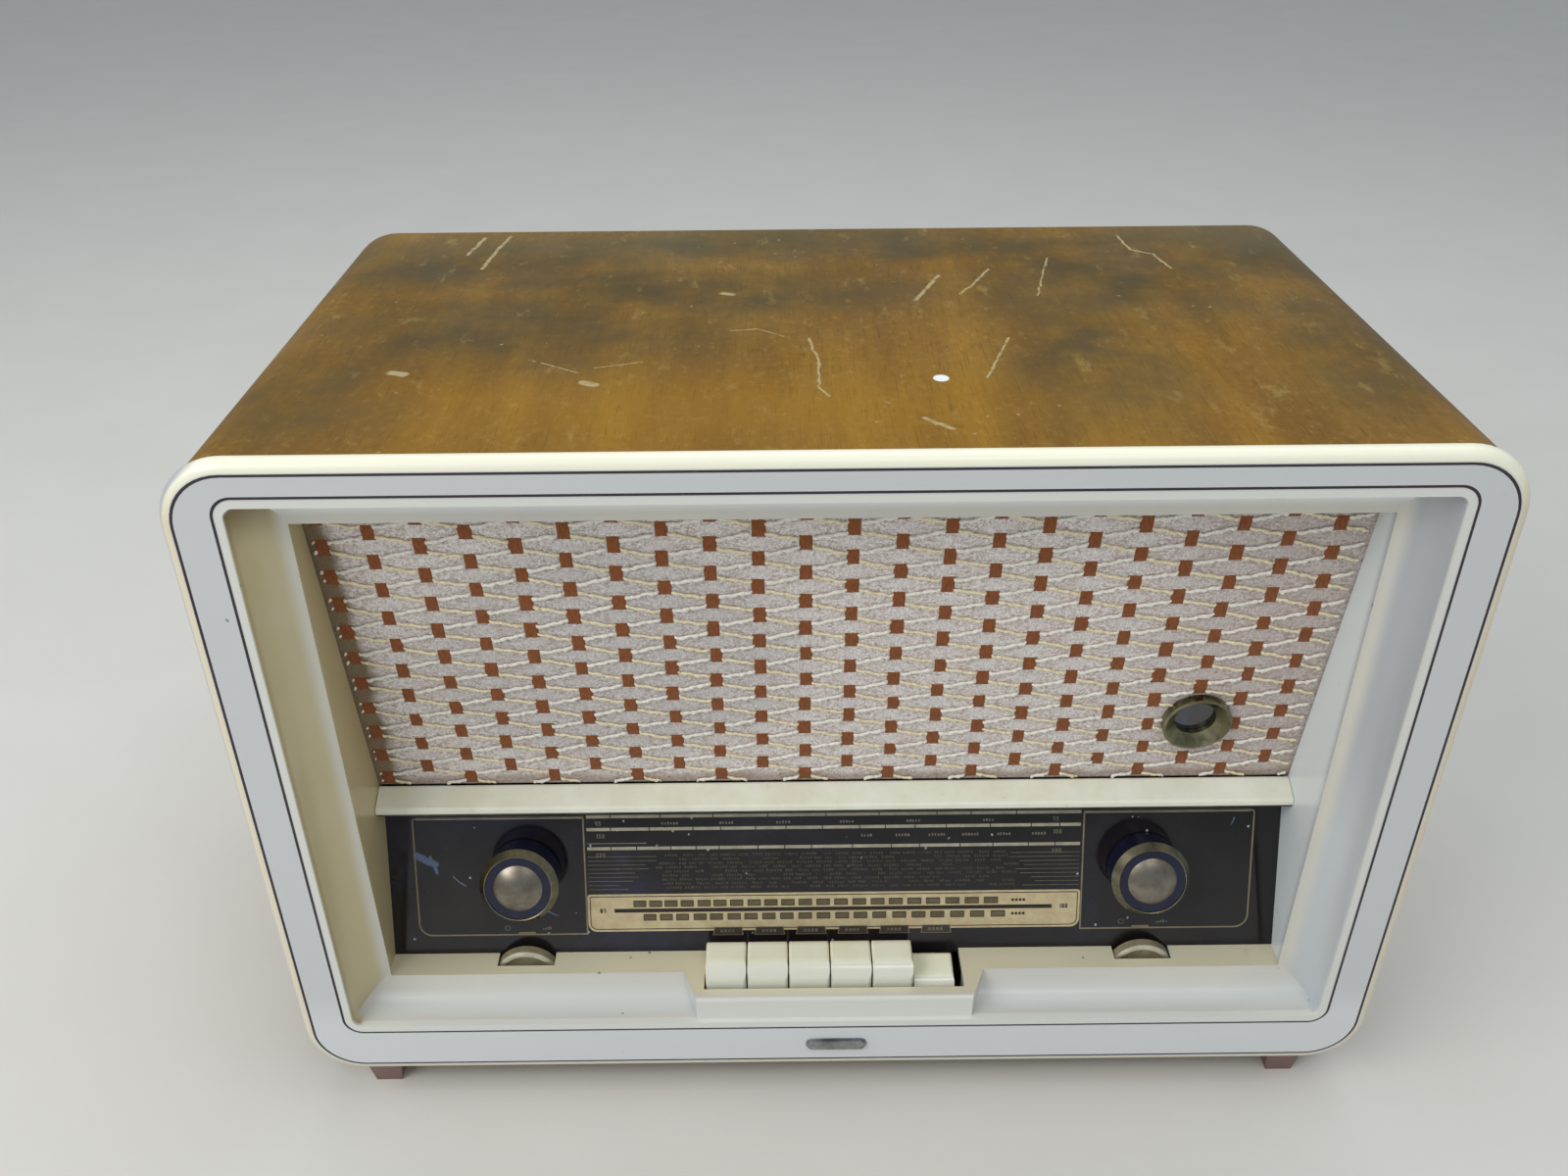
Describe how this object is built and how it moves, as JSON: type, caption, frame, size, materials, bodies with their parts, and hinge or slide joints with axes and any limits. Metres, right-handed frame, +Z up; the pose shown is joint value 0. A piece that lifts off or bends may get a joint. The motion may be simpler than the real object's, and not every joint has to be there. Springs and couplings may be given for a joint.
{
  "type": "tabletop radio",
  "caption": "Table-top valve radio: wrapped wood cabinet, moulded front frame, cloth and tilted dial, two turning knobs, two tone wheels and a row of piano keys.",
  "frame": {"origin": "middle of the set's footprint, on the surface its feet rest on", "axes": "+X to the right seen from the front, +Y to the back, +Z up"},
  "size_m": [0.54, 0.2946, 0.369],
  "materials": {
    "cabinet": "satin veneer",
    "bezel": "semi-gloss",
    "bezel_lines": "dark recessed line",
    "badge_bar": "polished",
    "ledge_bar": "semi-gloss",
    "ledge_trim": "satin",
    "baffle": "raw plywood",
    "speaker_cloth": "woven",
    "dial_glass": "printed on the back",
    "dial_plate": "grey",
    "pointer_rail": "drawn",
    "pointer": "red",
    "dial_lamps": "clear",
    "eye_ring": "aged satin",
    "eye_tube": "dark",
    "knob_body": "gloss",
    "knob_band": "satin",
    "knob_cap": "spun",
    "volume_shaft": "turned",
    "volume_control": "plated",
    "tuning_spindle": "turned",
    "tuning_flywheel": "turned",
    "dial_drum": "moulded",
    "dial_cord": "braided",
    "capacitor_rotor": "plain",
    "capacitor_frame": "plated",
    "tone_wheel": "satin",
    "tone_control": "plated",
    "key": "yellowed gloss",
    "key_frame": "plated",
    "key_rod": "drawn",
    "speaker_basket": "grey",
    "speaker_cone": "pulp",
    "speaker_magnet": "plated",
    "chassis": "plated",
    "transformer_core": "laminated",
    "transformer_coil": "waxed",
    "output_transformer": "laminated",
    "valves": "clear",
    "smoothing_can": "drawn",
    "rectifier": "red",
    "fm_tuner": "plain",
    "if_cans": "drawn",
    "ferrite_antenna": "fired",
    "rear_sockets": "pressed",
    "mains_grommet": "moulded",
    "back_cover": "pressed board",
    "back_cover_screws": "plain",
    "feet": "moulded",
    "floor_bolts": "plated"
  },
  "bodies": {
    "set": {"cabinet": "cabinet", "bezel": "bezel", "bezel_lines": "bezel_lines", "badge_bar": "badge_bar", "ledge_bar": "ledge_bar", "ledge_trim": "ledge_trim", "baffle": "baffle", "speaker_cloth": "speaker_cloth", "dial_glass": "dial_glass", "dial_plate": "dial_plate", "pointer_rail": "pointer_rail", "dial_lamps": "dial_lamps", "eye_ring": "eye_ring", "eye_tube": "eye_tube", "volume_control": "volume_control", "dial_cord": "dial_cord", "capacitor_frame": "capacitor_frame", "bass_control": "tone_control", "treble_control": "tone_control", "key_frame": "key_frame", "key_rod": "key_rod", "speaker_basket": "speaker_basket", "speaker_cone": "speaker_cone", "speaker_magnet": "speaker_magnet", "chassis": "chassis", "transformer_core": "transformer_core", "transformer_coil": "transformer_coil", "output_transformer": "output_transformer", "valves": "valves", "smoothing_can": "smoothing_can", "rectifier": "rectifier", "fm_tuner": "fm_tuner", "if_cans": "if_cans", "ferrite_antenna": "ferrite_antenna", "rear_sockets": "rear_sockets", "mains_grommet": "mains_grommet", "back_cover": "back_cover", "back_cover_screws": "back_cover_screws", "feet": "feet", "floor_bolts": "floor_bolts"},
    "volume_knob": {"volume_knob_body": "knob_body", "volume_knob_band": "knob_band", "volume_knob_cap": "knob_cap", "volume_shaft": "volume_shaft"},
    "tuning_knob": {"tuning_knob_body": "knob_body", "tuning_knob_band": "knob_band", "tuning_knob_cap": "knob_cap", "tuning_spindle": "tuning_spindle", "tuning_flywheel": "tuning_flywheel"},
    "tuning_drum": {"dial_drum": "dial_drum", "capacitor_rotor": "capacitor_rotor"},
    "pointer_carriage": {"pointer": "pointer"},
    "bass_tone_wheel": {"bass_wheel": "tone_wheel"},
    "treble_tone_wheel": {"treble_wheel": "tone_wheel"},
    "piano_key_1": {"key_1": "key"},
    "piano_key_2": {"key_2": "key"},
    "piano_key_3": {"key_3": "key"},
    "piano_key_4": {"key_4": "key"},
    "piano_key_5": {"key_5": "key"},
    "piano_key_6": {"key_6": "key"}
  },
  "joints": [
    {"name": "volume_turn", "type": "hinge", "parent": "set", "child": "volume_knob", "pos_m": [-0.159, -0.09494, 0.1085], "axis": [0, 0.9432, -0.3322], "range_deg": [-140, 140]},
    {"name": "drum_turn", "type": "hinge", "parent": "set", "child": "tuning_drum", "pos_m": [0.08, -0.05209, 0.1549], "axis": [0, 0.9432, -0.3322], "range_deg": [-90, 90]},
    {"name": "tuning_turn", "type": "hinge", "parent": "set", "child": "tuning_knob", "pos_m": [0.159, -0.09494, 0.1085], "axis": [0, 0.9432, -0.3322], "range_deg": [-917.7, 917.7]},
    {"name": "pointer_slide", "type": "slide", "parent": "set", "child": "pointer_carriage", "axis": [1, 0, 0], "range_m": [-0.1125, 0.1125]},
    {"name": "bass_turn", "type": "hinge", "parent": "set", "child": "bass_tone_wheel", "pos_m": [-0.1593, -0.11435, 0.0578], "axis": [0, 1, 0], "range_deg": [-135, 135]},
    {"name": "treble_turn", "type": "hinge", "parent": "set", "child": "treble_tone_wheel", "pos_m": [0.1593, -0.11435, 0.0578], "axis": [0, 1, 0], "range_deg": [-135, 135]},
    {"name": "key_1_press", "type": "hinge", "parent": "set", "child": "piano_key_1", "pos_m": [0, -0.04935, 0.067], "axis": [1, 0, 0], "range_deg": [0, 7.5], "stiffness_Nm_per_rad": 0.4, "springref_deg": -14.32},
    {"name": "key_2_press", "type": "hinge", "parent": "set", "child": "piano_key_2", "pos_m": [0, -0.04935, 0.067], "axis": [1, 0, 0], "range_deg": [0, 7.5], "stiffness_Nm_per_rad": 0.4, "springref_deg": -14.32},
    {"name": "key_3_press", "type": "hinge", "parent": "set", "child": "piano_key_3", "pos_m": [0, -0.04935, 0.067], "axis": [1, 0, 0], "range_deg": [0, 7.5], "stiffness_Nm_per_rad": 0.4, "springref_deg": -14.32},
    {"name": "key_4_press", "type": "hinge", "parent": "set", "child": "piano_key_4", "pos_m": [0, -0.04935, 0.067], "axis": [1, 0, 0], "range_deg": [0, 7.5], "stiffness_Nm_per_rad": 0.4, "springref_deg": -14.32},
    {"name": "key_5_press", "type": "hinge", "parent": "set", "child": "piano_key_5", "pos_m": [0, -0.04935, 0.067], "axis": [1, 0, 0], "range_deg": [0, 7.5], "stiffness_Nm_per_rad": 0.4, "springref_deg": -14.32},
    {"name": "key_6_release", "type": "hinge", "parent": "set", "child": "piano_key_6", "pos_m": [0, -0.04935, 0.067], "axis": [1, 0, 0], "range_deg": [-7.5, 0]}
  ],
  "couplings": [
    {"joint": "tuning_turn", "follows": "drum_turn", "ratio": 10.186},
    {"joint": "pointer_slide", "follows": "drum_turn", "m_per_rad": 0.0713}
  ]
}
